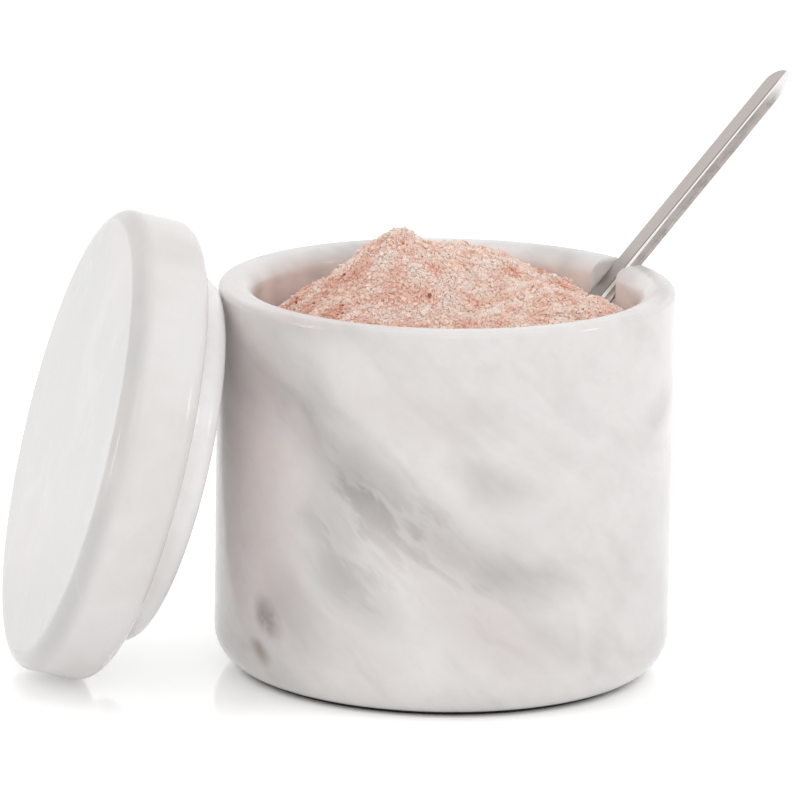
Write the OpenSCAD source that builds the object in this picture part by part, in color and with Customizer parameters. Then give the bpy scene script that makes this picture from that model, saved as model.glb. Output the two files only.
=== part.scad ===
// Salt cellar: a round stone jar on a thin dark pad, the salt it holds, a small steel
// spoon through the slot in its rim, and its plugged lid, taken off and leaning beside it.
// The origin is the middle of the pad's underside. +Z is up.

/* [Jar] */
// Outer diameter of the jar
jar_d = 100; // [88:1:120]
// Height of the stone body above its pad
jar_h = 85; // [80:1:110]
// Thickness of the wall
wall_t = 8; // [6:0.5:10]
// Thickness of the stone floor
floor_t = 10; // [6:0.5:14]
// Radius of the soft edge inside the mouth
mouth_round = 4; // [2:0.5:5]
// Radius of the outer edge of the rim
rim_round = 1.5; // [0.5:0.25:2]
// Radius of the rounded foot
foot_round = 8.4; // [5:0.2:12]
// Radius between the inner wall and the floor
well_round = 6; // [3:0.5:10]

/* [Pad] */
// Thickness of the pad under the foot
pad_t = 0.6; // [0.4:0.1:3]
// Width of pad that reaches out under the rounded foot
pad_reach = 0.8; // [0:0.1:2]

/* [Spoon slot] */
// Direction of the slot, turned from +X towards +Y
slot_turn = 34.5; // [10:0.5:80]
// Gap between the spoon's handle and each side of the slot
slot_play = 0.4; // [0.3:0.05:2]
// Depth of the slot below the rim
slot_depth = 8.7; // [7:0.1:11]
// Radius in the slot's lower corners
slot_round = 0.8; // [0.4:0.1:1]
// Radius where the slot's sides meet the top of the rim
slot_lip = 1; // [0.4:0.1:1.5]
// Radius where the slot's sides meet the inner and the outer wall
slot_edge = 1; // [0.4:0.1:2]

/* [Lid] */
// How far the lid's disc reaches past the jar all round
lid_overhang = 1.25; // [-1:0.25:4]
// Thickness of the lid's disc
lid_t = 17.2; // [12:0.1:24]
// Radius of the edge round the top of the lid
lid_top_round = 3.5; // [2:0.1:5.8]
// Radius of the edge round the underside of the lid
lid_under_round = 4.6; // [2:0.1:5.6]
// Depth of the plug below the disc
plug_h = 7; // [6.5:0.1:12]
// Gap all round between the plug and the mouth
plug_gap = 0.9; // [0.8:0.1:3]
// Radius of the plug's lower edge
plug_round = 4; // [2:0.1:4]
// Radius in the corner between the plug and the disc
plug_fillet = 2.5; // [0.5:0.1:2.5]

/* [Leaning lid] */
// Angle of the leaning disc from upright
lean_tilt = 14.6; // [6:0.2:22]
// Direction of the leaning lid, turned from -X towards -Y
lean_turn = 11.8; // [0:0.1:30]
// Distance of the lid's middle line to the side of the jar's middle
lean_side = 4; // [0:0.2:12]
// Gap left between the lid and the jar
lean_gap = 0.3; // [0.2:0.05:1]

/* [Spoon] */
// Width of the handle
handle_w = 7.9; // [5:0.1:10]
// Length of the handle outside the jar's inner wall
handle_l = 68.8; // [40:0.2:90]
// Thickness of the steel
steel_t = 1.1; // [0.8:0.1:1.6]
// Angle at which each half of the handle rises from its crease
crease_angle = 9; // [0:1:16]
// Slope of the spoon above level
spoon_slope = 43; // [30:0.2:50]
// Length of the handle inside the jar, up to the bowl
neck_l = 9; // [4:0.5:12]
// Diameter of the bowl across its inside
bowl_d = 16.4; // [14:0.2:18]
// Depth of the bowl
bowl_depth = 5.6; // [4:0.2:5.8]
// Gap between the handle and the slot's sill
sill_gap = 0.3; // [0.2:0.05:0.5]

/* [Salt] */
// Height of the main peak above the rim
heap_h = 10.5; // [0:0.25:20]
// Slope of the main peak's sides
heap_slope = 39; // [20:1:42]
// Depth below the rim at which the lowest salt meets the wall
heap_sink = 11.4; // [8:0.2:20]
// How much higher than that the salt lies in the middle, below its hills
heap_crown = 1.5; // [0:0.1:4]
// Height of the swells that cross the heap
swell_h = 0.3; // [0:0.05:0.6]
// Gap between the salt and the stone
salt_gap = 0.15; // [0.1:0.05:0.5]
// Gap between the salt and the spoon on its way up
spoon_path_gap = 0.45; // [0.35:0.05:1]

/* [Hidden] */
$fn = 96;

// How far every cut runs past the face that it opens
cut_over = 1;
jar_r = jar_d / 2;
mouth_r = jar_r - wall_t;
rim_z = pad_t + jar_h;
well_z = pad_t + floor_t;
pad_r = jar_r - foot_round + pad_reach;
sill_z = rim_z - slot_depth;
slot_w = handle_w + 2 * slot_play;

lid_r = jar_r + lid_overhang;
plug_r = mouth_r - plug_gap;

// The handle is folded along its middle, so its edges stand above its crease.
fold_h = handle_w / 2 * tan(crease_angle);
bowl_r = bowl_d / 2;
bowl_plane = sill_gap + fold_h + steel_t;
bowl_sphere_r = (bowl_r * bowl_r + bowl_depth * bowl_depth) / (2 * bowl_depth);
bowl_x = -neck_l - bowl_r;
bowl_centre_z = bowl_plane + bowl_sphere_r - bowl_depth;

// The hills of the heap. Each row holds shares: across, back and the rounding of its top
// as shares of the mouth's radius, its height above the rim as a share of heap_h, and its
// steepness as a share of the main peak's.
hill_shares = [
    [-0.254, 0.139, 0.046, 1, 1],
    [0.028, 0.465, 0.26, 0.37, 0.67],
    [0.498, -0.03, 0.136, -0.076, 0.53],
    [-0.443, -0.195, 0.114, -0.079, 0.85]
];
// Length over which one hill runs into the next
hill_blend = 1.6;
// The swells, as waves. Each row holds a wave's direction and phase as shares of a full
// turn, and its length as a share of the mouth's radius.
swell_shares = [
    [0.06, 0.01, 0.36],
    [0.19, 0.74, 0.43],
    [0.31, 0.44, 0.31],
    [0.43, 0.4, 0.28]
];
heap_rings = 12;
heap_sectors = 40;
heap_r = mouth_r + cut_over;

// Height of hill i at (x, y): a cone with a rounded tip.
function hill(x, y, i) =
    let (share = hill_shares[i], soften = share[2] * mouth_r)
    rim_z + share[3] * heap_h - share[4] * tan(heap_slope)
        * (norm([x - share[0] * mouth_r, y - share[1] * mouth_r, soften]) - soften);

// The larger of two heights, blended over a short step.
function blend_max(a, b) = (a + b + norm([a - b, hill_blend])) / 2;

function heap_base(x, y) =
    rim_z - heap_sink + heap_crown * (1 - (x * x + y * y) / (mouth_r * mouth_r));

// Height of swell i at (x, y).
function swell(x, y, i) =
    let (share = swell_shares[i], turn = 360 * share[0])
    swell_h * sin(360 * ((x * cos(turn) + y * sin(turn)) / (share[2] * mouth_r) + share[1]));

// Height of all swells at (x, y), from swell i on.
function swells(x, y, i = 0) =
    i == len(swell_shares) ? 0 : swell(x, y, i) + swells(x, y, i + 1);

// Height of the heap at (x, y), from its base and its first hills.
function heap_z(x, y, hills = len(hill_shares)) =
    hills == 0
        ? heap_base(x, y)
        : blend_max(heap_z(x, y, hills - 1), hill(x, y, hills - 1));

// Height of the salt at (x, y), with its hills and swells.
function salt_top(x, y) = heap_z(x, y) + swells(x, y);

// A rectangle from the axis out to r, with its two outer corners rounded.
module turned_outline(r, low, high, low_round, high_round) {
    difference() {
        translate([0, low]) square([r, high - low]);
        corner_cut(r, low, low_round, 1);
        corner_cut(r, high, high_round, -1);
    }
}

// What rounding takes off the corner at (r, z). Side is 1 above a lower corner.
module corner_cut(r, z, radius, side) {
    difference() {
        translate([r - radius, side > 0 ? z - cut_over : z - radius])
            square([radius + cut_over, radius + cut_over]);
        translate([r - radius, z + side * radius]) circle(radius);
    }
}

// The hollow, with its rounded floor. Grow moves its surface inwards.
module well_outline(grow, top) {
    turned_outline(mouth_r - grow, well_z + grow, top, well_round - grow, 0);
}

// What the soft inner edge takes off the rim.
module mouth_flare() {
    difference() {
        translate([0, rim_z - mouth_round])
            square([mouth_r + mouth_round, mouth_round + cut_over]);
        translate([mouth_r + mouth_round, rim_z - mouth_round]) circle(mouth_round);
    }
}

// The slot seen along its length, x across it and y up.
module slot_outline() {
    difference() {
        translate([-slot_w / 2, sill_z]) square([slot_w, slot_depth + cut_over]);
        for (side = [-1, 1]) translate([side * slot_w / 2, sill_z]) slot_corner(-side);
    }
    for (side = [0, 1]) mirror([side, 0]) difference() {
        translate([slot_w / 2, rim_z - slot_lip]) square([slot_lip, slot_lip + cut_over]);
        translate([slot_w / 2 + slot_lip, rim_z - slot_lip]) circle(slot_lip);
    }
}

// What rounding takes off one upright edge of the slot, seen from above. The circle that
// rounds it has its middle at centre_r from the axis. Inner is the edge at the mouth.
module slot_edge_cut(centre_r, inner) {
    across = slot_w / 2 + slot_edge;
    along = sqrt(centre_r * centre_r - across * across);
    far = (jar_r + wall_t) / centre_r;
    difference() {
        polygon(
            inner
            ? [[0, 0], [along, across], [along, slot_w / 4]]
            : [[along, across], [far * along, far * across], [far * along, slot_w / 4], [along, slot_w / 4]]
        );
        translate([along, across]) circle(slot_edge);
    }
}

// Stone left in a lower corner of the slot.
module slot_corner(side) {
    difference() {
        translate([side > 0 ? -cut_over : -slot_round, -cut_over])
            square([slot_round + cut_over, slot_round + cut_over]);
        translate([side * slot_round, slot_round]) circle(slot_round, $fn = 32);
    }
}

module jar_body() {
    color("#dfd6d3")
    difference() {
        rotate_extrude() difference() {
            turned_outline(jar_r, pad_t, rim_z, foot_round, rim_round);
            well_outline(0, rim_z + cut_over);
            mouth_flare();
        }
        rotate([0, 0, slot_turn]) {
            translate([mouth_r - wall_t, 0, 0])
                rotate([90, 0, 90]) linear_extrude(3 * wall_t) slot_outline();
            translate([0, 0, sill_z + slot_round]) linear_extrude(slot_depth)
                for (side = [0, 1]) mirror([0, side]) {
                    slot_edge_cut(mouth_r + slot_edge, true);
                    slot_edge_cut(jar_r - slot_edge, false);
                }
        }
    }
}

module base_pad() {
    color("#1c1b1b") cylinder(r = pad_r, h = pad_t);
}

// Points of the heap: the middle, then ring after ring outwards, then the underside.
function ring_point(ring, sector) =
    let (r = heap_r * ring / heap_rings, turn = 360 * sector / heap_sectors)
    [r * cos(turn), r * sin(turn), salt_top(r * cos(turn), r * sin(turn))];

function ring_index(ring, sector) = 1 + (ring - 1) * heap_sectors + sector % heap_sectors;

module heap_solid() {
    low_z = well_z - cut_over;
    top_points = [for (ring = [1:heap_rings]) for (s = [0:heap_sectors - 1]) ring_point(ring, s)];
    low_points = [for (s = [0:heap_sectors - 1])
        let (p = ring_point(heap_rings, s)) [p[0], p[1], low_z]];
    last = heap_rings + 1;
    low_middle = 1 + last * heap_sectors;
    cap_faces = [for (s = [0:heap_sectors - 1])
        [0, ring_index(1, s + 1), ring_index(1, s)]];
    band_faces = [for (ring = [1:heap_rings]) for (s = [0:heap_sectors - 1]) for (half = [0, 1])
        half == 0
            ? [ring_index(ring, s), ring_index(ring, s + 1), ring_index(ring + 1, s + 1)]
            : [ring_index(ring, s), ring_index(ring + 1, s + 1), ring_index(ring + 1, s)]];
    low_faces = [for (s = [0:heap_sectors - 1])
        [low_middle, ring_index(last, s), ring_index(last, s + 1)]];
    polyhedron(
        points = concat([[0, 0, salt_top(0, 0)]], top_points, low_points, [[0, 0, low_z]]),
        faces = concat(cap_faces, band_faces, low_faces)
    );
}

// Room in the salt for the spoon to rest in and to come straight up.
module spoon_path() {
    way_up = rim_z + heap_h - well_z;
    hull() for (rise = [0, way_up]) translate([0, 0, rise]) in_slot() bowl_room();
    hull() for (rise = [0, way_up]) translate([0, 0, rise]) in_slot() neck_room();
}

module bowl_room() {
    intersection() {
        translate([bowl_x, 0, bowl_centre_z])
            sphere(bowl_sphere_r + steel_t + spoon_path_gap, $fn = 32);
        translate([bowl_x, 0, bowl_centre_z - 2 * bowl_sphere_r])
            cylinder(
                r = 2 * bowl_r,
                h = bowl_plane + spoon_path_gap - bowl_centre_z + 2 * bowl_sphere_r,
                $fn = 32
            );
    }
}

module neck_room() {
    translate([bowl_x, -handle_w / 2 - spoon_path_gap, sill_gap - spoon_path_gap])
        cube([
            neck_l + bowl_r + wall_t,
            handle_w + 2 * spoon_path_gap,
            fold_h + steel_t + 2 * spoon_path_gap
        ]);
}

module salt() {
    color("#e3c4b8")
    difference() {
        intersection() {
            heap_solid();
            rotate_extrude() well_outline(salt_gap, rim_z + heap_h + cut_over);
        }
        spoon_path();
    }
}

// Carries the spoon from its own frame, where x runs up the handle and z stands on its
// face, to the inner edge of the slot's sill.
module in_slot() {
    rotate([0, 0, slot_turn])
        translate([mouth_r, 0, sill_z])
            rotate([0, -spoon_slope, 0])
                children();
}

module handle() {
    section = [
        [-handle_w / 2, fold_h], [0, 0], [handle_w / 2, fold_h],
        [handle_w / 2, fold_h + steel_t], [0, steel_t], [-handle_w / 2, fold_h + steel_t]
    ];
    intersection() {
        translate([bowl_x, 0, sill_gap])
            rotate([90, 0, 90]) linear_extrude(handle_l - bowl_x) polygon(section);
        linear_extrude(bowl_plane + cut_over) {
            translate([bowl_x, -handle_w / 2]) square([handle_l - handle_w / 2 - bowl_x, handle_w]);
            translate([handle_l - handle_w / 2, 0]) circle(handle_w / 2);
        }
    }
}

module bowl_shell() {
    intersection() {
        translate([bowl_x, 0, bowl_centre_z]) sphere(bowl_sphere_r + steel_t);
        translate([bowl_x, 0, bowl_plane - bowl_depth - 2 * steel_t])
            cylinder(r = 2 * bowl_r, h = bowl_depth + 2 * steel_t);
    }
}

module spoon() {
    color("#b9b6b3")
    in_slot() difference() {
        union() {
            handle();
            bowl_shell();
        }
        translate([bowl_x, 0, bowl_centre_z]) sphere(bowl_sphere_r);
    }
}

// The lid in its own frame: z = 0 is the underside of its disc.
module lid_turned() {
    rotate_extrude() {
        turned_outline(lid_r, 0, lid_t, lid_under_round, lid_top_round);
        turned_outline(plug_r, -plug_h, lid_under_round, plug_round, 0);
        difference() {
            translate([0, -plug_fillet]) square([plug_r + plug_fillet, plug_fillet + cut_over]);
            translate([plug_r + plug_fillet, -plug_fillet]) circle(plug_fillet);
        }
    }
}

// Points round the side of the lid that faces the jar, as [radius, height] in its own
// frame: the plug's end, the plug's edge and the disc's lower edge.
face_steps = 40;
arc_step = 10;
turn_step = 2;
leaning_outline = concat(
    [for (i = [0:face_steps]) [(plug_r - plug_round) * i / face_steps, -plug_h]],
    [for (a = [0:arc_step:90])
        [plug_r - plug_round * (1 - sin(a)), plug_round * (1 - cos(a)) - plug_h]],
    [for (a = [0:arc_step:90])
        [lid_r - lid_under_round * (1 - sin(a)), lid_under_round * (1 - cos(a))]]
);

// The jar's outer radius at a height, with its rounded rim and foot.
function jar_side_r(z) =
    z > rim_z - rim_round
        ? jar_r - rim_round + sqrt(max(0, pow(rim_round, 2) - pow(z - rim_z + rim_round, 2)))
        : z < pad_t + foot_round
            ? jar_r - foot_round + sqrt(max(0, pow(foot_round, 2) - pow(pad_t + foot_round - z, 2)))
            : jar_r;

// How far out the lid has to stand for one point of its outline, turned round its axis,
// to come no closer to the jar than lean_gap.
function lean_need(point, turn) =
    let (z = lean_z + point[0] * cos(turn) * cos(lean_tilt) + point[1] * sin(lean_tilt),
         side = lean_side + point[0] * sin(turn),
         room = pow(jar_side_r(z) + lean_gap, 2) - side * side)
    z > rim_z || room < 0
        ? 0
        : sqrt(room) + point[0] * cos(turn) * sin(lean_tilt) - point[1] * cos(lean_tilt);
lean_z = (lid_r - lid_under_round) * cos(lean_tilt) + lid_under_round * (1 - sin(lean_tilt));
lean_reach = max([for (point = leaning_outline) for (turn = [-90:turn_step:90]) lean_need(point, turn)]);

module lid() {
    color("#e5e3e1")
    rotate([0, 0, 180 + lean_turn])
        translate([lean_reach, -lean_side, lean_z])
            rotate([0, 90 - lean_tilt, 0])
                lid_turned();
}

jar_body();
base_pad();
salt();
spoon();
lid();
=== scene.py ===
import math

import bpy
import numpy as np
from mathutils import Matrix


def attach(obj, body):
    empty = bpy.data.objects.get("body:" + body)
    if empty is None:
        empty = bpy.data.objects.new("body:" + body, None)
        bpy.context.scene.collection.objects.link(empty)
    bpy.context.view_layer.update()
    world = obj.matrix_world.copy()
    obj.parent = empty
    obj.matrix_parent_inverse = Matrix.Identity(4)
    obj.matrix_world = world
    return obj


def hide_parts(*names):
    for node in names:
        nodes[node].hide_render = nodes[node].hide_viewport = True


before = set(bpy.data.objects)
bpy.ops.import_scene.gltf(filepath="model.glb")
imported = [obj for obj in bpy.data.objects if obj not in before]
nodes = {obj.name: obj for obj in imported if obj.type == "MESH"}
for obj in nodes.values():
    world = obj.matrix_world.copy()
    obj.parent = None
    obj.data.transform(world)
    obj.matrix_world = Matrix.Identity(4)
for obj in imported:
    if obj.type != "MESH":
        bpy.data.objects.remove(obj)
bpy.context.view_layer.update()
scene = bpy.context.scene
mm = 0.001
print("frame loaded, nodes:", ", ".join(sorted(nodes)))

# millimetres, radians and pixels of the square photograph
camera = {"distance": 1431.966, "height": 391.874, "yaw": -0.0069, "pitch": 0.2282, "roll": 0.0167,
          "focalPixels": 6715.45, "imagePixels": 800, "sensor": 36.0, "farClip": 20000}


def placeCamera(c):
    # the view direction is turned by yaw and tilted down by pitch, then rolled about itself
    cosYaw, sinYaw = math.cos(c["yaw"]), math.sin(c["yaw"])
    cosPitch, sinPitch = math.cos(c["pitch"]), math.sin(c["pitch"])
    cosRoll, sinRoll = math.cos(c["roll"]), math.sin(c["roll"])
    forward = np.array([sinYaw * cosPitch, cosYaw * cosPitch, -sinPitch])
    right = np.array([cosYaw, -sinYaw, 0.0])
    up = np.cross(right, forward)
    rolledRight, rolledUp = cosRoll * right + sinRoll * up, cosRoll * up - sinRoll * right
    lens = bpy.data.cameras.new("photoCamera")
    lens.sensor_width = c["sensor"]
    lens.lens = c["focalPixels"] * c["sensor"] / c["imagePixels"]
    lens.clip_end = c["farClip"] * mm
    obj = bpy.data.objects.new("photoCamera", lens)
    turn = Matrix(np.c_[rolledRight, rolledUp, -forward].tolist()).to_4x4()
    obj.matrix_world = Matrix.Translation((0, -c["distance"] * mm, c["height"] * mm)) @ turn
    scene.collection.objects.link(obj)
    scene.camera = obj


placeCamera(camera)
print("camera placed")


class Wire:
    # an output socket that is added, subtracted and multiplied like a number
    def __init__(self, recipe, socket):
        self.recipe, self.socket = recipe, socket

    def maths(self, operation, *values):
        return self.recipe.add("Math", {"operation": operation}, dict(enumerate(values)))

    def __add__(self, other):
        return self.maths("ADD", self, other)

    def __sub__(self, other):
        return self.maths("SUBTRACT", self, other)

    def __rsub__(self, other):
        return self.maths("SUBTRACT", other, self)

    def __mul__(self, other):
        return self.maths("MULTIPLY", self, other)

    def __abs__(self):
        return self.maths("ABSOLUTE", self)

    __radd__ = __add__
    __rmul__ = __mul__


class Recipe:
    # one node tree and the few ways that it grows
    def __init__(self, owner):
        owner.use_nodes = True
        self.owner, self.tree = owner, owner.node_tree
        self.tree.nodes.clear()

    def add(self, kind, settings=None, values=None, out=0):
        # any node: its settings first, then a value or a link for each socket
        node = self.tree.nodes.new("ShaderNode" + kind)
        for key, value in (settings or {}).items():
            setattr(node, key, value)
        for key, value in (values or {}).items():
            if isinstance(value, Wire):
                self.tree.links.new(value.socket, node.inputs[key])
            else:
                node.inputs[key].default_value = value
        return Wire(self, node.outputs[out]) if len(node.outputs) else None

    def part(self, vector, axis):
        return self.add("SeparateXYZ", values={0: vector}, out=axis)

    def along(self, vector, direction):
        return self.add("VectorMath", {"operation": "DOT_PRODUCT"}, {0: vector, 1: direction}, out="Value")

    def length(self, vector):
        return self.add("VectorMath", {"operation": "LENGTH"}, {0: vector}, out="Value")

    def noise(self, vector, scale, detail, rough, out=0):
        return self.add("TexNoise", values={"Vector": vector, "Scale": scale, "Detail": detail,
                                            "Roughness": rough}, out=out)

    def warped(self, vector, scale, amount, detail=3, rough=0.55):
        # each place is moved by up to half the amount along a noise of its own
        swirl = self.noise(vector, scale, detail, rough, "Color")
        centred = self.add("VectorMath", {"operation": "SUBTRACT"}, {0: swirl, 1: (0.5, 0.5, 0.5)})
        scaled = self.add("VectorMath", {"operation": "SCALE"}, {0: centred, "Scale": amount})
        return self.add("VectorMath", {"operation": "ADD"}, {0: vector, 1: scaled})

    def streaks(self, vector, direction, long, fine, detail, rough=0.6):
        # noise that is drawn out along a slanting direction of the front: the long scale counts
        # along it and to the back, the fine one across it
        across = (-direction[2], 0, direction[0])
        stretched = self.add("CombineXYZ", values={"X": self.along(vector, direction) * long,
                                                   "Y": self.part(vector, "Y") * long,
                                                   "Z": self.along(vector, across) * fine})
        return self.noise(stretched, 1.0, detail, rough)

    def step(self, value, low, high, lowOut=0.0, highOut=1.0):
        # a smooth rise from lowOut to highOut while the value goes from low to high
        return self.add("MapRange", {"interpolation_type": "SMOOTHSTEP"},
                        {0: value, 1: low, 2: high, 3: lowOut, 4: highOut})

    def cloud(self, vector, row, depth=28, core=0.1):
        # one soft slanting blot: full in the core of an ellipsoid and gone at its skin
        x, y, z, longHalf, shortHalf, slant, strength = row
        local = self.add("Mapping", {"vector_type": "TEXTURE"},
                         {"Vector": vector, "Location": (x * mm, y * mm, z * mm),
                          "Rotation": (0, math.radians(slant), 0),
                          "Scale": (longHalf * mm, depth * mm, shortHalf * mm)})
        return self.step(self.length(local), core, 1.0, strength, 0.0)

    def clouds(self, vector, rows):
        total = self.cloud(vector, rows[0])
        for row in rows[1:]:
            total = total + self.cloud(vector, row)
        return total

    def mix(self, share, first, second):
        return self.add("Mix", {"data_type": "RGBA"}, {0: share, 6: first, 7: second}, out=2)

    def layered(self, colours, base, layers):
        # each named colour goes over the ones before it by its share
        colour = colours[base]
        for name, share in layers:
            colour = self.mix(share, colour, colours[name])
        return colour

    def bump(self, height, distance, strength):
        return self.add("Bump", values={"Height": height, "Distance": distance, "Strength": strength})

    def finish(self, values):
        self.add("OutputMaterial", values={"Surface": self.add("BsdfPrincipled", values=values)})
        return self.owner


def newRecipe(name):
    r = Recipe(bpy.data.materials.new(name))
    return r, r.add("TexCoord", out="Object")


def srgb(red, green, blue):
    # a colour written as 0 to 255, turned into scene light by the usual screen curve
    values = np.array([red, green, blue]) / 255
    light = np.where(values <= 0.04045, values / 12.92, ((values + 0.055) / 1.055) ** 2.4)
    return (*light.tolist(), 1.0)


def clothe(obj, material):
    obj.data.materials.clear()
    obj.data.materials.append(material)


def buildMesh(name, points, faces, smooth=True):
    # points in millimetres, faces as lists of point numbers
    mesh = bpy.data.meshes.new(name)
    mesh.from_pydata((np.asarray(points) * mm).tolist(), [], faces)
    mesh.polygons.foreach_set("use_smooth", np.full(len(mesh.polygons), smooth))
    mesh.update()
    obj = bpy.data.objects.new(name, mesh)
    scene.collection.objects.link(obj)
    return obj


def ringFaces(rows, columns):
    # quads between neighbouring rings of points that are stored ring after ring
    row, column = np.meshgrid(np.arange(rows - 1), np.arange(columns), indexing="ij")
    row, column = row.ravel() * columns, column.ravel()
    following = (column + 1) % columns
    return np.c_[row + column, row + following, row + columns + following, row + columns + column]


def capFaces(columns, first, middle, flip):
    # triangles from one ring of points to a middle point
    k = np.arange(columns)
    following = (k + 1) % columns
    pair = (first + following, first + k) if flip else (first + k, first + following)
    return np.c_[pair[0], pair[1], np.full(columns, middle)]


# In all the pieces: noises are scale, detail and roughness, warps are scale and amount, streaks are
# direction, long scale, fine scale and detail, bumps are distance and strength. A name that ends in
# Step holds where a value starts and ends to change, and what comes out there if not 0 and 1.
# Materials count in metres. Clouds are the middle's x, y and z, the half length, the half height and
# the slant, in millimetres and degrees, and the strength.
# stoneDepth is how far light goes into the stone.
stoneDepth = {"Subsurface Weight": 0.12, "Subsurface Radius": (0.004, 0.003, 0.0025), "Subsurface Scale": 1.0}

jar = {"body": srgb(238, 235, 233), "grey": srgb(142, 139, 136), "mauve": srgb(240, 225, 224),
       "rose": srgb(220, 210, 208), "milk": srgb(246, 244, 242), "plum": srgb(132, 120, 119),
       "brown": srgb(140, 122, 108),
       "wideWarp": (34, 0.009), "smallWarp": (90, 0.0016), "mottle": (210, 5, 0.65), "broad": (22, 4, 0.55),
       "falling": ((0.743, 0, -0.669), 42, 150, 4), "steep": ((0.34, 0, -0.94), 34, 300, 4),
       "unevenStep": (0.2, 0.8, 0.7, 1.15), "steepStep": (0.3, 0.7, 0.5, 1.3),
       "unseenStep": (-0.03, 0.01, 0.12, 0.6), "broadStep": (0.45, 0.7), "greyGain": 1.2,
       "streakStep": (0.42, 0.75, 0.0, 0.13), "veinAt": 0.52, "veinStep": (0.0, 0.1, 0.3, 0.0),
       "roseStep": (0.35, 0.75, 0.0, 0.22), "stainStep": (0.3, 0.6, 0.5, 1.0),
       "roughStep": (0.3, 0.8, 0.13, 0.22), "bump": (0.00003, 0.4), "depth": {"IOR": 1.5, **stoneDepth},
       "greyClouds": [[-32, -38, 72, 17, 11, 50, 0.24], [-25, -43, 60, 18, 13, 48, 0.34],
                      [-16, -47, 52, 17, 12, 38, 0.34], [-20, -46, 51, 9, 5, 30, 0.14],
                      [-7, -49, 45, 18, 11, 38, 0.28], [6, -50, 37, 18, 9, 30, 0.24],
                      [18, -46, 31, 18, 8, 22, 0.3], [-22, -45, 41, 15, 11, 60, 0.36],
                      [-40, -29, 68, 16, 8, 62, 0.26], [-18, -46, 27, 17, 10, 40, 0.3],
                      [-31, -39, 19, 17, 8, 60, 0.32], [10, -49, 52, 14, 6, 30, 0.22],
                      [-36, -34, 8, 12, 6, 30, 0.25], [-30, -38, 85, 18, 7, 0, 0.22],
                      [47, -16, 63, 10, 6, -50, 0.24], [30, -40, 14, 15, 6, 30, 0.14]],
       "mauveClouds": [[-42, -26, 42, 50, 14, 86, 0.6], [-36, -35, 62, 28, 11, 66, 0.6],
                       [-33, -38, 24, 24, 9, 75, 0.4], [-30, -36, 86, 16, 5, 0, 0.8]],
       "roseClouds": [[-2, -50, 38, 30, 14, 42, 0.7], [12, -48, 18, 28, 12, 25, 0.6],
                      [-20, -46, 14, 22, 12, 30, 0.5], [-6, -49, 68, 30, 10, 8, 0.4]],
       "veinClouds": [[-10, -49, 38, 36, 22, 42, 1.0], [-40, -28, 20, 22, 12, 70, 0.7]],
       "plumClouds": [[-37, -34, 17, 7, 4, 70, 0.65]],
       "brownClouds": [[-40, -30, 10, 4, 2.6, 60, 0.6]]}


def jarMaterial(p):
    # a drift of grey clouds falls to the right, with milky veins along it, a mauve tint and streaks
    # at the left and two small stains. Sides that the picture hides get clouds by chance.
    r, place = newRecipe("jarStone")
    bent = r.warped(r.warped(place, *p["wideWarp"]), *p["smallWarp"])
    mottle = r.noise(place, *p["mottle"])
    broad = r.noise(bent, *p["broad"])
    falling = r.streaks(bent, *p["falling"])
    uneven = r.step(falling, *p["unevenStep"])
    steep = r.step(r.streaks(bent, *p["steep"]), *p["steepStep"])
    unseen = r.step(r.part(place, "Y"), *p["unseenStep"])
    vein = r.step(abs(falling - p["veinAt"]), *p["veinStep"])
    colour = r.layered(p, "body", [
        ("grey", r.step(broad, *p["broadStep"]) * unseen),
        ("rose", r.clouds(bent, p["roseClouds"]) * uneven),
        ("mauve", r.clouds(bent, p["mauveClouds"]) * steep),
        ("grey", r.clouds(bent, p["greyClouds"]) * uneven * p["greyGain"]),
        ("grey", r.step(falling, *p["streakStep"])),
        ("milk", vein * r.clouds(bent, p["veinClouds"])),
        ("rose", r.step(mottle, *p["roseStep"])),
        ("plum", r.clouds(bent, p["plumClouds"]) * r.step(mottle, *p["stainStep"])),
        ("brown", r.clouds(bent, p["brownClouds"]))])
    return r.finish({"Base Color": colour, "Roughness": r.step(mottle, *p["roughStep"]),
                     "Normal": r.bump(mottle, *p["bump"]), **p["depth"]})


clothe(nodes["jar_body"], jarMaterial(jar))
print("jar finished")

# the axis is at right angles to the lid's face: along it, from the jar's foot, the plug gives way to
# the disc at discStep and the disc's edge to the face at faceStep. The stone is the same all over:
# the plug's paler tone is painted light and the face's darker tone is painted shade
lid = {"plug": srgb(250, 249, 248), "disc": srgb(239, 237, 235), "face": srgb(210, 209, 207),
       "warm": srgb(226, 218, 214), "milk": srgb(246, 244, 242), "axis": (-0.947, -0.198, 0.252),
       "discStep": (0.0755, 0.0775), "faceStep": (0.0885, 0.0925),
       "warp": (40, 0.012), "mottle": (210, 5, 0.65), "patches": (26, 3, 0.5),
       "streaks": ((0.3, 0, 0.95), 40, 260, 3), "patchStep": (0.48, 0.7, 0.0, 0.5),
       "streakStep": (0.5, 0.75, 0.0, 0.2), "mottleStep": (0.4, 0.8, 0.0, 0.2),
       "roughStep": (0.3, 0.8, 0.12, 0.2), "bump": (0.00002, 0.3), "depth": {"IOR": 1.4, **stoneDepth}}


def lidMaterial(p):
    # nearly plain, with faint warm patches and milky streaks, painted light on the plug and
    # painted shade on the face
    r, place = newRecipe("lidStone")
    bent = r.warped(place, *p["warp"])
    mottle = r.noise(place, *p["mottle"])
    along = r.along(place, p["axis"])
    # painted light makes the plug paler and painted shade makes the face darker than the disc
    colour = r.layered(p, "plug", [
        ("disc", r.step(along, *p["discStep"])),
        ("face", r.step(along, *p["faceStep"])),
        ("warm", r.step(r.noise(bent, *p["patches"]), *p["patchStep"])),
        ("milk", r.step(r.streaks(bent, *p["streaks"]), *p["streakStep"])),
        ("warm", r.step(mottle, *p["mottleStep"]))])
    return r.finish({"Base Color": colour, "Roughness": r.step(mottle, *p["roughStep"]),
                     "Normal": r.bump(mottle, *p["bump"]), **p["depth"]})


clothe(nodes["lid"], lidMaterial(lid))
print("lid finished")

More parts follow.
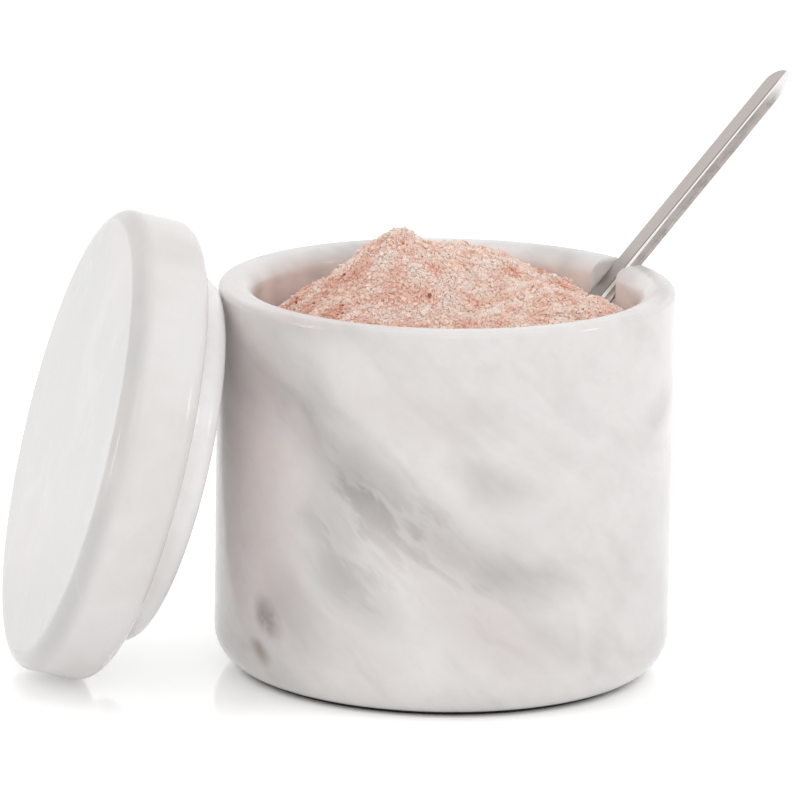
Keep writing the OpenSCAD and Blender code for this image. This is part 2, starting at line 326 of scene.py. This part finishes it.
pad = {"dark": srgb(24, 23, 23), "light": srgb(42, 40, 39), "grain": (1400, 2, 0.5), "grainStep": (0.3, 0.8),
       "roughStep": (0.2, 0.8, 0.6, 0.85), "bump": (0.00006, 0.6)}


def padMaterial(p):
    # matt and nearly black, with a fine grain
    r, place = newRecipe("padRubber")
    grain = r.noise(place, *p["grain"])
    return r.finish({"Base Color": r.mix(r.step(grain, *p["grainStep"]), p["dark"], p["light"]),
                     "Roughness": r.step(grain, *p["roughStep"]), "Normal": r.bump(grain, *p["bump"])})


clothe(nodes["base_pad"], padMaterial(pad))
print("pad finished")

# The shape is in millimetres and degrees, measured along the spoon from the inner edge of the slot's
# sill, with the bowl on the negative side. The finish is in metres.
spoon = {"turn": 34.5, "slope": 43.0, "mouthRadius": 42.0, "sillHeight": 76.9, "gap": 0.3,
         "width": 7.9, "length": 68.8, "tip": 4.2, "thick": 1.1, "endRound": 0.5,
         "crease": 9.0, "creaseRadius": 0.25, "creaseGrowth": 1.1, "growthFrom": 12.0, "growthRun": 32.0,
         "bowlAt": -17.2, "bowlRadius": 8.7, "bowlSphere": 9.35, "bowlMiddle": 5.23, "bowlFlare": 2.5,
         "merge": 4.0, "mergeRound": 0.5, "neckEnd": 2.0, "neckRound": 1.2,
         "easeRun": 17.0, "easeRings": 61, "easeKept": 46, "evenFrom": 16.0, "evenRings": 90,
         "tipRings": 26, "columns": 61, "handleRoom": 2.2,
         # The steel's colours are painted reflections: the far facet lighter than the near one, patches of
         # brushing and painted reflection, a dark painted shade for the crease and the slot, and a white
         # painted highlight.
         "far": srgb(200, 192, 188), "nearPaintedReflection": srgb(178, 170, 166), "brushAndReflectionPatch": srgb(150, 142, 138),
         "line": srgb(112, 104, 99), "paintedHighlight": srgb(250, 247, 245),
         "brushAlong": 60, "brushAcross": 2600, "brush": (1.0, 3, 0.6), "brushShare": 0.35,
         "patches": (210, 4, 0.65), "patchStep": (0.38, 0.66), "nearStep": (-0.0002, 0.0, 1.0, 0.0),
         "slotPaintedShadeStep": (0.003, 0.016, 0.7, 0.0), "tipPaintedHighlightStep": (0.058, 0.0655),
         "paintedHighlightEndStep": (0.0, 0.03, -0.0016, -0.0009), "paintedHighlightStep": (-0.00012, 0.00012),
         "glintStep": (0.3, 0.5, 0.7, 1.0), "lineAt": 0.00012, "lineStep": (0.0, 0.0003, 1.0, 0.0),
         "lineEndStep": (0.064, 0.067, 0.85, 0.0), "roughStep": (0.3, 0.75, 0.2, 0.36),
         "bump": (0.00002, 0.4)}


def spoonStations(p):
    # places along the spoon: eased in at the bowl's end, even, and eased out at the tip
    start, end = p["bowlAt"] - p["bowlRadius"], p["length"]
    easing = 0.5 - 0.5 * np.cos(np.linspace(0, np.pi, p["easeRings"])[:p["easeKept"]])
    rounding = np.sin(np.linspace(0, np.pi / 2, p["tipRings"]))
    return np.unique(np.r_[start + easing * p["easeRun"],
                           np.linspace(start + p["evenFrom"], end - p["tip"], p["evenRings"]),
                           end - p["tip"] + p["tip"] * rounding])


def spoonWidths(stations, p):
    # half widths: a circle at the bowl, a straight handle that ends in half an ellipse, and a
    # rounded larger of the two at the neck
    bowlWide = np.sqrt(np.clip(p["bowlRadius"] ** 2 - (stations - p["bowlAt"]) ** 2, 0, None))
    past = np.clip(stations - p["length"] + p["tip"], 0, None) / p["tip"]
    handleWide = p["width"] / 2 * np.sqrt(np.clip(1 - past ** 2, 0, None))
    joining = (stations > p["bowlAt"] + p["merge"]) & (stations < p["neckEnd"])
    apart = np.sqrt((bowlWide - handleWide) ** 2 + p["neckRound"] ** 2 * joining)
    return np.where(stations > p["bowlAt"], 0.5 * (bowlWide + handleWide + apart), bowlWide)


def spoonHeights(along, across, p):
    # the middle surface: a shallow fold in the handle, whose crease gets rounder towards the bowl, a
    # part of a sphere in the bowl, and a rounded smaller of the two where they meet
    growth = np.clip((p["growthFrom"] - along) / p["growthRun"], 0, 1)
    channel = p["creaseRadius"] + p["creaseGrowth"] * growth
    rise = (np.sqrt(across ** 2 + channel ** 2) - channel) * math.tan(math.radians(p["crease"]))
    handle = rise + p["gap"] + p["thick"] / 2
    away = np.hypot(along - p["bowlAt"], across)
    inside = np.clip(away, 0, p["bowlRadius"])
    bowl = p["bowlMiddle"] - np.sqrt(p["bowlSphere"] ** 2 - inside ** 2) + p["bowlFlare"] * (away - inside)
    lower = 0.5 * (handle + bowl - np.sqrt((handle - bowl) ** 2 + p["mergeRound"] ** 2))
    return np.where(along > p["bowlAt"] + p["merge"], lower, bowl)


def spoonShape(p, tiny=1e-9):
    # the middle surface on a grid, thickened both ways along its normal and rounded at its edges
    start, end = p["bowlAt"] - p["bowlRadius"], p["length"]
    stations = spoonStations(p)
    wide = spoonWidths(stations, p)[:, None]
    share = np.sin(np.linspace(-np.pi / 2, np.pi / 2, p["columns"]))
    along, acrossShare = np.meshgrid(stations, share, indexing="ij")
    across = acrossShare * wide
    middle = np.stack([along, across, spoonHeights(along, across, p)], -1)
    normal = np.cross(np.gradient(middle, axis=0), np.gradient(middle, axis=1))
    size = np.linalg.norm(normal, axis=-1, keepdims=True)
    normal = np.where(size > tiny, normal / np.maximum(size, tiny), [0, 0, 1])
    edge = np.clip((wide - np.abs(across)) / (p["thick"] / 2), 0, 1)
    ends = np.clip(np.minimum(along - start, end - along) / p["endRound"], 0, 1)
    thickness = np.sqrt(np.clip(1 - (1 - np.minimum(edge, ends)) ** 2, 0, 1)) * p["thick"] / 2
    offset = normal * thickness[..., None]
    # each ring goes over the top one way and back below
    return np.concatenate([middle + offset, (middle - offset)[:, -2:0:-1]], axis=1)


def placeSpoon(points, p):
    # from the spoon's own frame, tilted by its slope and turned about the jar's axis
    slope, turn = math.radians(p["slope"]), math.radians(p["turn"])
    x, y, z = points[..., 0], points[..., 1], points[..., 2]
    out = p["mouthRadius"] + x * math.cos(slope) - z * math.sin(slope)
    up = p["sillHeight"] + x * math.sin(slope) + z * math.cos(slope)
    return np.stack([out * math.cos(turn) - y * math.sin(turn),
                     out * math.sin(turn) + y * math.cos(turn), up], -1)


def makeSpoon(p):
    # rings of points closed by a fan at each end, with a map of the places along and across
    rings = spoonShape(p)
    rows, columns = rings.shape[:2]
    placed = placeSpoon(rings, p).reshape(-1, 3)
    points = np.r_[placed, [placed[:columns].mean(0)], [placed[-columns:].mean(0)]]
    faces = (ringFaces(rows, columns).tolist() + capFaces(columns, 0, len(placed), True).tolist()
             + capFaces(columns, (rows - 1) * columns, len(placed) + 1, False).tolist())
    obj = buildMesh("spoonSteelPiece", points, faces)
    layer = obj.data.uv_layers.new(name="along")
    where = np.r_[rings.reshape(-1, 3)[:, :2], [[p["bowlAt"], 0]], [[p["length"], 0]]] * mm
    index = np.zeros(len(obj.data.loops), np.int32)
    obj.data.loops.foreach_get("vertex_index", index)
    layer.data.foreach_set("uv", where[index].ravel())
    return obj


def steelMaterial(p):
    # brushed along its length, under painted reflections: a painted shade in the crease, a painted
    # highlight beside it, the far half lighter and even with painted shade near the slot, the near half
    # in patches of painted reflection that turn to a white painted highlight at the tip
    r, place = newRecipe("spoonSteel")
    spot = r.add("UVMap", out="UV")
    along, across = r.part(spot, "X"), r.part(spot, "Y")
    brushed = r.add("CombineXYZ", values={"X": along * p["brushAlong"], "Y": across * p["brushAcross"]})
    lines = r.noise(brushed, *p["brush"])
    patches = r.noise(place, *p["patches"])
    nearSide = r.step(across, *p["nearStep"])
    # the far facet: a painted reflection, with brushing and a painted shade towards the slot
    far = r.layered(p, "far", [("brushAndReflectionPatch", lines * p["brushShare"]), ("line", r.step(along, *p["slotPaintedShadeStep"]))])
    # the near facet: patches of painted reflection, turning to a painted highlight at the tip
    nearPaintedReflection = r.layered(p, "nearPaintedReflection", [("brushAndReflectionPatch", r.step(patches, *p["patchStep"])),
                                 ("paintedHighlight", r.step(along, *p["tipPaintedHighlightStep"]))])
    # the painted highlight beside the crease, wider towards the slot and broken into glints
    paintedHighlightEnd = r.step(along, *p["paintedHighlightEndStep"])
    paintedHighlight = r.step(across - paintedHighlightEnd, *p["paintedHighlightStep"]) * nearSide
    colour = r.mix(nearSide, far, nearPaintedReflection)
    colour = r.mix(paintedHighlight * r.step(patches, *p["glintStep"]), colour, p["paintedHighlight"])
    # the painted shade along the crease, fading out at the tip
    line = r.step(abs(across - p["lineAt"]), *p["lineStep"])
    colour = r.mix(line * r.step(along, *p["lineEndStep"]), colour, p["line"])
    return r.finish({"Base Color": colour, "Metallic": 1.0, "Roughness": r.step(lines, *p["roughStep"]),
                     "Normal": r.bump(lines, *p["bump"])})


spoonPiece = makeSpoon(spoon)
clothe(spoonPiece, steelMaterial(spoon))
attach(spoonPiece, "spoon")
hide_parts("spoon")
print("spoon made")

# Millimetres. Hills are across, back, softness, top and steepness, and swells heading, phase and
# length, as shares of the mouth's radius, the peak, the slope and a whole turn. Colours of the
# crystals are written as 0 to 255, with the share of the crystals that have each.
salt = {"mouth": 42.0, "rim": 85.6, "peak": 10.5, "slope": 39.0, "sink": 11.4, "crown": 1.5, "blend": 1.6,
        "hills": [[-0.254, 0.139, 0.046, 1, 1], [0.028, 0.465, 0.26, 0.37, 0.67],
                  [0.498, -0.03, 0.136, -0.076, 0.53], [-0.443, -0.195, 0.114, -0.079, 0.85]],
        "swells": [[0.06, 0.01, 0.36], [0.19, 0.74, 0.43], [0.31, 0.44, 0.31], [0.43, 0.4, 0.28]],
        "swell": 0.3, "lumpSeed": 11, "lumpWaves": 20, "lumpLength": 4.5, "lumps": 0.27, "settle": 0.3,
        "wall": 41.8, "floor": 10.8, "floorRound": 5.9, "wallRingShare": 3, "rings": 150, "sectors": 360,
        "roundRings": 7,
        "layers": {"A": 21, "B": 22, "C": 23}, "spacing": 0.70, "grain": 0.58, "grainSpread": 0.3,
        "grainLimits": (0.3, 1.2), "grainLift": (-0.3, 0.5), "wallGapShare": 0.75,
        "stretch": (0.7, 1.25), "cornerShake": 0.42,
        "colours": {"clear": ((255, 242, 234), 0.13), "pale": ((255, 229, 215), 0.43),
                    "rose": ((254, 215, 198), 0.32), "amber": ((240, 184, 160), 0.07),
                    "rust": ((178, 100, 80), 0.032), "garnet": ((136, 66, 50), 0.018)},
        "patchSeed": 5, "patchWaves": 14, "patchLength": 9, "patchHeight": 0.9, "leftShare": 0.8,
        "rankChance": 0.5, "pickChance": 0.4, "warmth": 0.05, "waveWarmth": 0.45, "warmest": 1.2,
        "patchTint": (0.09, 0.22, 0.26), "shades": (0.9, 1.06),
        "deep": srgb(243, 190, 171), "light": srgb(255, 222, 208), "frost": srgb(253, 240, 232),
        "speck": (1300, 2, 0.6), "frostStep": (0.5, 0.8, 0.0, 0.35), "lightStep": (0.35, 0.7),
        "roughStep": (0.3, 0.7, 0.25, 0.5), "bump": (0.0001, 0.4),
        "depth": {"IOR": 1.54, "Subsurface Weight": 0.25, "Subsurface Radius": (0.0014, 0.0009, 0.0006),
                  "Subsurface Scale": 1.0}}


def heapHeight(x, y, p):
    # each hill is a cone with a rounded tip, the highest is blended with the rest, and a few
    # plane waves run across them all
    z = p["rim"] - p["sink"] + p["crown"] * (1 - (x ** 2 + y ** 2) / p["mouth"] ** 2)
    for across, back, soft, top, steep in p["hills"]:
        soft = soft * p["mouth"]
        away = np.sqrt((x - across * p["mouth"]) ** 2 + (y - back * p["mouth"]) ** 2 + soft ** 2) - soft
        hill = p["rim"] + top * p["peak"] - steep * math.tan(math.radians(p["slope"])) * away
        z = 0.5 * (z + hill + np.sqrt((z - hill) ** 2 + p["blend"] ** 2))
    for heading, phase, length in p["swells"]:
        turn = 2 * math.pi * heading
        ahead = (x * math.cos(turn) + y * math.sin(turn)) / (length * p["mouth"])
        z = z + p["swell"] * np.sin(2 * np.pi * (ahead + phase))
    return z


def ripples(x, y, rng, waves, length, height, shortest=0.6, longest=1.6):
    # a sum of plane waves in random directions, with lengths from the shortest to the longest share
    total = np.zeros_like(x)
    for _ in range(waves):
        turn, phase = rng.uniform(0, 2 * np.pi, 2)
        size = length * rng.uniform(shortest, longest)
        total += np.sin((x * np.cos(turn) + y * np.sin(turn)) * 2 * np.pi / size + phase)
    return total * height / math.sqrt(waves)


def saltSurface(x, y, p):
    # the heap a little lower, with lumps of a few millimetres
    rng = np.random.default_rng(p["lumpSeed"])
    return heapHeight(x, y, p) - p["settle"] + ripples(x, y, rng, p["lumpWaves"], p["lumpLength"], p["lumps"])


def saltBody(p):
    # the heap's skin on rings of growing radius, closed by the well's wall and floor
    rings, sectors, wall = p["rings"], p["sectors"], p["wall"]
    turn = np.arange(sectors) * 2 * np.pi / sectors
    radius, heading = np.meshgrid(wall * np.arange(1, rings + 1) / rings, turn, indexing="ij")
    x, y = radius * np.cos(heading), radius * np.sin(heading)
    top = np.stack([x, y, saltSurface(x, y, p)], -1)
    bend = np.linspace(0, np.pi / 2, p["roundRings"])
    lowRadius = np.r_[wall, wall - p["floorRound"] * (1 - np.cos(bend)), wall / 2]
    lowHeight = p["floor"] + p["floorRound"] * np.r_[p["wallRingShare"], 1 - np.sin(bend), 0]
    low = np.stack([lowRadius[:, None] * np.cos(turn), lowRadius[:, None] * np.sin(turn),
                    np.broadcast_to(lowHeight[:, None], (len(lowRadius), sectors))], -1)
    middleTop = [0, 0, float(saltSurface(np.zeros(1), np.zeros(1), p)[0])]
    points = np.r_[top.reshape(-1, 3), low.reshape(-1, 3), [middleTop], [[0, 0, p["floor"]]]]
    rows = rings + len(lowRadius)
    count = rows * sectors
    faces = (ringFaces(rows, sectors)[:, ::-1].tolist() + capFaces(sectors, 0, count, False).tolist()
             + capFaces(sectors, count - sectors, count + 1, True).tolist())
    return buildMesh("saltBodyPiece", points, faces)


def clearOfSpoon(x, y, z, size, p):
    # true for the grains that lie beside, below or above the handle
    turn, slope = math.radians(p["turn"]), math.radians(p["slope"])
    out = x * math.cos(turn) + y * math.sin(turn) - p["mouthRadius"]
    aside = -x * math.sin(turn) + y * math.cos(turn)
    lift = (z - p["sillHeight"]) * math.cos(slope) - out * math.sin(slope)
    half = 0.5 * size
    return (np.abs(aside) > p["width"] / 2 + half) | (lift < -half) | (lift > p["handleRoom"] + half)


def scatter(rng, p):
    # places shaken off a square grid, sizes spread about the usual one, heights about the skin's
    side = np.arange(-p["wall"], p["wall"], p["spacing"])
    gridX, gridY = np.meshgrid(side, side, indexing="ij")
    x = (gridX + rng.uniform(-0.5, 0.5, gridX.shape) * p["spacing"]).ravel()
    y = (gridY + rng.uniform(-0.5, 0.5, gridY.shape) * p["spacing"]).ravel()
    size = np.clip(p["grain"] * np.exp(rng.normal(0, p["grainSpread"], x.size)), *p["grainLimits"])
    z = saltSurface(x, y, p) + size * rng.uniform(*p["grainLift"], x.size)
    keep = (np.hypot(x, y) < p["wall"] - p["wallGapShare"] * size) & clearOfSpoon(x, y, z, size, spoon)
    return np.stack([x, y, z], -1)[keep], size[keep]


def randomTurns(rng, count):
    # rotation matrices of evenly spread unit quaternions
    q = rng.normal(size=(count, 4))
    w, i, j, k = (q / np.linalg.norm(q, axis=1, keepdims=True)).T
    rows = [1 - 2 * (j * j + k * k), 2 * (i * j - k * w), 2 * (i * k + j * w),
            2 * (i * j + k * w), 1 - 2 * (i * i + k * k), 2 * (j * k - i * w),
            2 * (i * k - j * w), 2 * (j * k + i * w), 1 - 2 * (i * i + j * j)]
    return np.stack(rows, -1).reshape(count, 3, 3)


boxCorners = np.array([[i, j, k] for i in (-1, 1) for j in (-1, 1) for k in (-1, 1)], float)
boxFaces = np.array([[0, 1, 3, 2], [4, 6, 7, 5], [0, 4, 5, 1], [2, 3, 7, 6], [0, 2, 6, 4], [1, 5, 7, 3]])


def crystalPoints(rng, places, size, p):
    # boxes with stretched sides and shaken corners, turned at random about their places
    count = len(places)
    stretched = boxCorners[None] * rng.uniform(*p["stretch"], (count, 1, 3))
    local = stretched * (1 - p["cornerShake"] * rng.random((count, len(boxCorners), 3)))
    turned = np.einsum("nab,nvb->nva", randomTurns(rng, count), local)
    return (turned * (size / 2)[:, None, None] + places[:, None]).reshape(-1, 3)


def crystalTints(rng, places, p):
    # the redder colours gather in patches, more of them at the left and away from the middle:
    # grains are ranked by a wave with some chance, and the wave tints them too
    x, y, count = places[:, 0], places[:, 1], len(places)
    outwards = (x ** 2 + y ** 2) / p["mouth"] ** 2 + p["leftShare"] * np.clip(-x / p["mouth"], 0, 1)
    patchRng = np.random.default_rng(p["patchSeed"])
    wave = ripples(x, y, patchRng, p["patchWaves"], p["patchLength"], p["patchHeight"]) + outwards
    rank = np.argsort(np.argsort(wave + rng.normal(0, p["rankChance"], count))) / count
    mixed = rank * (1 - p["pickChance"]) + p["pickChance"] * rng.random(count)
    shares = np.cumsum([share for _, share in p["colours"].values()])
    pick = np.searchsorted(shares / shares[-1], np.clip(mixed, 0, 0.9999))  # never past the last one
    tint = np.array([srgb(*colour) for colour, _ in p["colours"].values()])[pick]
    warmth = np.clip(p["warmth"] + p["waveWarmth"] * wave, 0, p["warmest"])[:, None] * p["patchTint"]
    tint[:, :3] = np.clip(tint[:, :3] * (1 - warmth) * rng.uniform(*p["shades"], (count, 1)), 0, 1)
    return tint


def saltGrains(name, seed, p):
    # one layer of crystals over the whole heap, each with a tint of its own
    rng = np.random.default_rng(seed)
    places, size = scatter(rng, p)
    points = crystalPoints(rng, places, size, p)
    faces = (np.arange(len(places))[:, None, None] * len(boxCorners) + boxFaces[None]).reshape(-1, 4)
    obj = buildMesh(name, points, faces.tolist(), smooth=False)
    tints = np.repeat(crystalTints(rng, places, p), len(boxCorners), axis=0)
    attribute = obj.data.attributes.new("tint", "FLOAT_COLOR", "POINT")
    attribute.data.foreach_set("color", tints.astype(np.float32).ravel())
    return obj


def saltMaterial(name, ownTint, p):
    # frosty specks on each crystal's own tint, or light specks on the mass below
    r, place = newRecipe(name)
    speck = r.noise(place, *p["speck"])
    if ownTint:
        tint = r.add("Attribute", {"attribute_name": "tint"}, out="Color")
        colour = r.mix(r.step(speck, *p["frostStep"]), tint, p["frost"])
    else:
        colour = r.mix(r.step(speck, *p["lightStep"]), p["deep"], p["light"])
    return r.finish({"Base Color": colour, "Roughness": r.step(speck, *p["roughStep"]),
                     "Normal": r.bump(speck, *p["bump"]), **p["depth"]})


saltPiece = saltBody(salt)
clothe(saltPiece, saltMaterial("saltMass", False, salt))
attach(saltPiece, "jar")
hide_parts("salt")
print("salt heaped")

grainMaterial = saltMaterial("saltGrain", True, salt)
for letter, seed in salt["layers"].items():
    grains = saltGrains("saltGrains" + letter, seed, salt)
    clothe(grains, grainMaterial)
    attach(grains, "jar")
    print("grains", letter, len(grains.data.polygons) // len(boxFaces))

# Metres. The floor's steps go by the distance from the jar's axis, and mirrorStep by the place from
# the viewer to the back. Lamps are place, size across and up, and power in watts.
studio = {"floorHalf": 3.0, "floorColour": srgb(245, 245, 245), "white": (1, 1, 1, 1), "mirrorRough": 0.02,
          "mirrorStep": (-0.066, -0.030, 0.0, 0.32), "mirrorEndStep": (0.12, 0.3, 1.0, 0.0),
          # the floor's glow ends close to the jar's foot, as painted shade
          "footPaintedShadeStep": (0.0424, 0.0464), "glowStep": (0.15, 0.45, 0.47, 0.48), "world": 0.80,
          "aim": (0, 0, 0.06),
          "lamps": {"lampLeft": ((-1.2, -0.51, 0.38), (0.16, 0.3), 1.0),
                    "lampRight": ((1.26, -0.31, 0.38), (0.16, 0.3), 1.0),
                    "lampTop": ((0.0, 0.2, 1.2), (0.8, 0.8), 1.0),
                    "lampFront": ((0.35, -1.7, 1.1), (1.0, 1.0), 3.0)}}


def seenDirectly(r):
    # one for rays from the camera, from a mirror or through glass
    direct = r.add("LightPath", out="Is Camera Ray")
    for kind in ("Is Glossy Ray", "Is Transmission Ray"):
        direct = direct.maths("MAXIMUM", direct, r.add("LightPath", out=kind))
    return direct


def floorMaterial(p):
    # white, with a mirror image that fades towards the viewer and the object's shadow kept; close to the
    # jar's foot the glow is taken away, which adds painted shade to the real contact shadow
    r, place = newRecipe("studioFloor")
    matt = r.add("BsdfDiffuse", values={"Color": p["floorColour"]})
    gloss = r.add("BsdfGlossy", values={"Color": p["white"], "Roughness": p["mirrorRough"]})
    away = r.length(place)
    share = r.step(r.part(place, "Y"), *p["mirrorStep"]) * r.step(away, *p["mirrorEndStep"])
    # the glow fades out close to the jar's foot: painted shade over the real contact shadow
    glow = r.step(away, *p["footPaintedShadeStep"]) * r.step(away, *p["glowStep"])
    light = r.add("MixShader", values={0: seenDirectly(r) * glow, 2: r.add("Emission")})
    base = r.add("AddShader", values={0: matt, 1: light})
    shown = r.add("MixShader", values={0: share, 1: base, 2: gloss})
    r.add("OutputMaterial", values={"Surface": shown})
    return r.owner


def addLamp(name, aim, place, size, power):
    # a rectangle whose own third axis points from the aim back to the lamp
    data = bpy.data.lights.new(name, "AREA")
    data.shape, data.size, data.size_y, data.energy = "RECTANGLE", size[0], size[1], power
    obj = bpy.data.objects.new(name, data)
    scene.collection.objects.link(obj)
    back = np.array(place, float) - np.array(aim, float)
    back /= np.linalg.norm(back)
    right = np.cross([0, 0, 1], back)
    right /= np.linalg.norm(right)
    up = np.cross(back, right)
    obj.matrix_world = Matrix.Translation(place) @ Matrix(np.c_[right, up, back].tolist()).to_4x4()


def makeStudio(p):
    # a square floor, four soft lamps and a world that is dimmer as light than it looks
    half = p["floorHalf"] / mm
    corners = [[-half, -half, 0], [half, -half, 0], [half, half, 0], [-half, half, 0]]
    floor = buildMesh("studioFloor", corners, [[0, 1, 2, 3]])
    clothe(floor, floorMaterial(p))
    for name, (place, size, power) in p["lamps"].items():
        addLamp(name, p["aim"], place, size, power)
    scene.world = bpy.data.worlds.new("studioWorld")
    r = Recipe(scene.world)
    dim = r.add("Background", values={"Color": p["white"], "Strength": p["world"]})
    bright = r.add("Background", values={"Color": p["white"], "Strength": 1.0})
    shown = r.add("MixShader", values={0: seenDirectly(r), 1: dim, 2: bright})
    r.add("OutputWorld", values={"Surface": shown})
    scene.view_settings.view_transform = "Standard"


makeStudio(studio)
print("studio ready")
